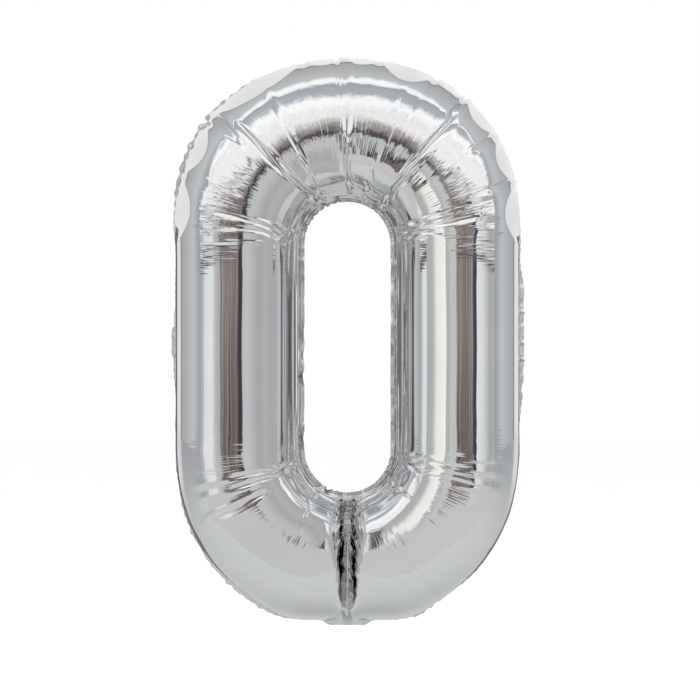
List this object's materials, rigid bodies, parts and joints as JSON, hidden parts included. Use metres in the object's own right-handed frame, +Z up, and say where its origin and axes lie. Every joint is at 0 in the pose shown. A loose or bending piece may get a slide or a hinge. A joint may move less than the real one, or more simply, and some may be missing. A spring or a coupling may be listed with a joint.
{
  "type": "foil number balloon",
  "caption": "Inflated metallised film balloon shaped as a zero: two welded panels around an oval hole, an inner flat valve and a filling tail that folds at the bottom seam.",
  "frame": {"origin": "middle of the balloon's top edge, on the plane where the two panels are welded; this is where it hangs", "axes": "+Z up along the height of the figure, +X right seen from the front, -Y the front face"},
  "size_m": [0.537, 0.196, 0.8664],
  "materials": {
    "silver_film": "polished metallised film, mirror bright, with fine pleats",
    "valve_film": "smooth clear film with a small printed mark"
  },
  "bodies": {
    "balloon": {"front_panel": "silver_film", "back_panel": "silver_film", "valve_front_film": "valve_film", "valve_back_film": "valve_film"},
    "tail": {"tail_front_ply": "silver_film", "tail_back_ply": "silver_film", "tail_valve_front_film": "valve_film", "tail_valve_back_film": "valve_film"}
  },
  "joints": [
    {"name": "tail_fold", "type": "hinge", "parent": "balloon", "child": "tail", "pos_m": [0, 0, -0.8662], "axis": [-1, 0, 0], "range_deg": [0, 220]}
  ]
}
